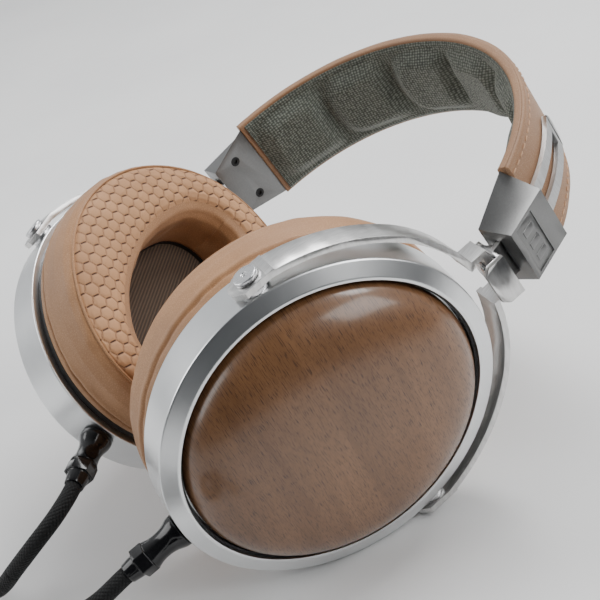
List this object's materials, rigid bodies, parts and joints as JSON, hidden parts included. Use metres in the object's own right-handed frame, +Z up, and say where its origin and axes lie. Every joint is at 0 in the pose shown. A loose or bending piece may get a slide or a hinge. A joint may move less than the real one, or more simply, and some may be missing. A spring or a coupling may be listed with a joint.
{
  "type": "over ear headphones",
  "caption": "Closed over-ear headphones with domed wooden cups in metal rings, leather pads, arched padded band, sliding yokes and detachable braided lead.",
  "frame": {"origin": "middle of the footprint of headband and cups, on the table they lie on", "axes": "+X towards the left ear's cup, +Y from the cups to the crown, +Z up from the table"},
  "size_m": [0.1835, 0.3096, 0.1025],
  "materials": {
    "satin_aluminium": "fine satin",
    "brushed_metal": "brushed along its length",
    "screw_steel": "turned, satin",
    "black_screw": "black oxide",
    "dark_wood": "gloss lacquer over short dark flecks",
    "tan_leather": "fine grain, light creases",
    "quilted_mesh": "coarse mesh quilted across",
    "dust_cloth": "fine ribs",
    "black_plastic": "matt",
    "gloss_black": "polished",
    "gasket_rubber": "matt",
    "diaphragm_film": "thin film",
    "magnet_metal": "plated",
    "braided_lead": "tight braid",
    "plug_metal": "polished",
    "badge_metal": "etched panel with plain bars"
  },
  "bodies": {
    "slider_left": {"slider_left": "brushed_metal", "swivel_pin_left": "screw_steel"},
    "yoke_left": {"yoke_left": "brushed_metal"},
    "cup_left": {"pivot_screws_left": "screw_steel", "pivot_washers_left": "screw_steel", "cup_ring_left": "satin_aluminium", "wood_cup_left": "dark_wood", "wood_gasket_left": "gasket_rubber", "baffle_left": "black_plastic", "driver_basket_left": "black_plastic", "driver_magnet_left": "magnet_metal", "driver_diaphragm_left": "diaphragm_film", "pad_ring_left": "black_plastic", "dust_cloth_left": "dust_cloth", "ear_pad_left": "tan_leather", "jack_socket_left": "black_plastic", "connector_left": "gloss_black", "connector_collar_left": "gloss_black", "connector_pin_left": "plug_metal"},
    "slider_right": {"slider_right": "brushed_metal", "swivel_pin_right": "screw_steel"},
    "yoke_right": {"yoke_right": "brushed_metal"},
    "cup_right": {"pivot_screws_right": "screw_steel", "pivot_washers_right": "screw_steel", "cup_ring_right": "satin_aluminium", "wood_cup_right": "dark_wood", "wood_gasket_right": "gasket_rubber", "baffle_right": "black_plastic", "driver_basket_right": "black_plastic", "driver_magnet_right": "magnet_metal", "driver_diaphragm_right": "diaphragm_film", "pad_ring_right": "black_plastic", "dust_cloth_right": "dust_cloth", "ear_pad_right": "tan_leather", "jack_socket_right": "black_plastic", "connector_right": "gloss_black", "connector_collar_right": "gloss_black", "connector_pin_right": "plug_metal"},
    "headband": {"badge_left": "badge_metal", "badge_right": "badge_metal", "block_screws_left": "black_screw", "block_screws_right": "black_screw", "coil_tie": "black_plastic", "end_block_left": "satin_aluminium", "end_block_right": "satin_aluminium", "headband_cover": "tan_leather", "headband_cushion": "quilted_mesh", "headband_spring": "brushed_metal", "lead_coil": "braided_lead", "lead_left": "braided_lead", "lead_right": "braided_lead", "lead_splitter": "badge_metal", "lead_tail": "braided_lead", "lead_trunk": "braided_lead", "plug_body": "gloss_black", "plug_pin": "plug_metal", "slider_detent_left": "screw_steel", "slider_detent_right": "screw_steel"}
  },
  "joints": [
    {"name": "left_slider_travel", "type": "hinge", "parent": "headband", "child": "slider_left", "pos_m": [0.00355, 0.01863, 0.06439], "axis": [-0.0412, -0.3305, 0.9429], "range_deg": [-12, 0], "deforming": ["lead_left", "ear_pad_left", "ear_pad_right"]},
    {"name": "left_yoke_swivel", "type": "hinge", "parent": "slider_left", "child": "yoke_left", "pos_m": [0.07071, 0.01464, 0.06593], "axis": [0.2615, 0.9072, 0.3294], "range_deg": [-8, 20], "deforming": ["lead_left"]},
    {"name": "left_cup_tilt", "type": "hinge", "parent": "yoke_left", "child": "cup_left", "pos_m": [0.05679, -0.03367, 0.04839], "axis": [-0.0832, -0.3189, 0.9441], "range_deg": [-3.5, 16], "deforming": ["lead_left"]},
    {"name": "right_slider_travel", "type": "hinge", "parent": "headband", "child": "slider_right", "pos_m": [0.00355, 0.01863, 0.06439], "axis": [-0.0412, -0.3305, 0.9429], "range_deg": [0, 12], "deforming": ["lead_right", "ear_pad_left", "ear_pad_right"]},
    {"name": "right_yoke_swivel", "type": "hinge", "parent": "slider_right", "child": "yoke_right", "pos_m": [-0.06349, 0.01464, 0.06007], "axis": [-0.2892, 0.9072, 0.3054], "range_deg": [0, 38], "deforming": ["lead_right"]},
    {"name": "right_cup_tilt", "type": "hinge", "parent": "yoke_right", "child": "cup_right", "pos_m": [-0.04809, -0.03367, 0.04381], "axis": [-0.3812, -0.4018, 0.8326], "range_deg": [-24, 0.2], "deforming": ["lead_right"]}
  ]
}
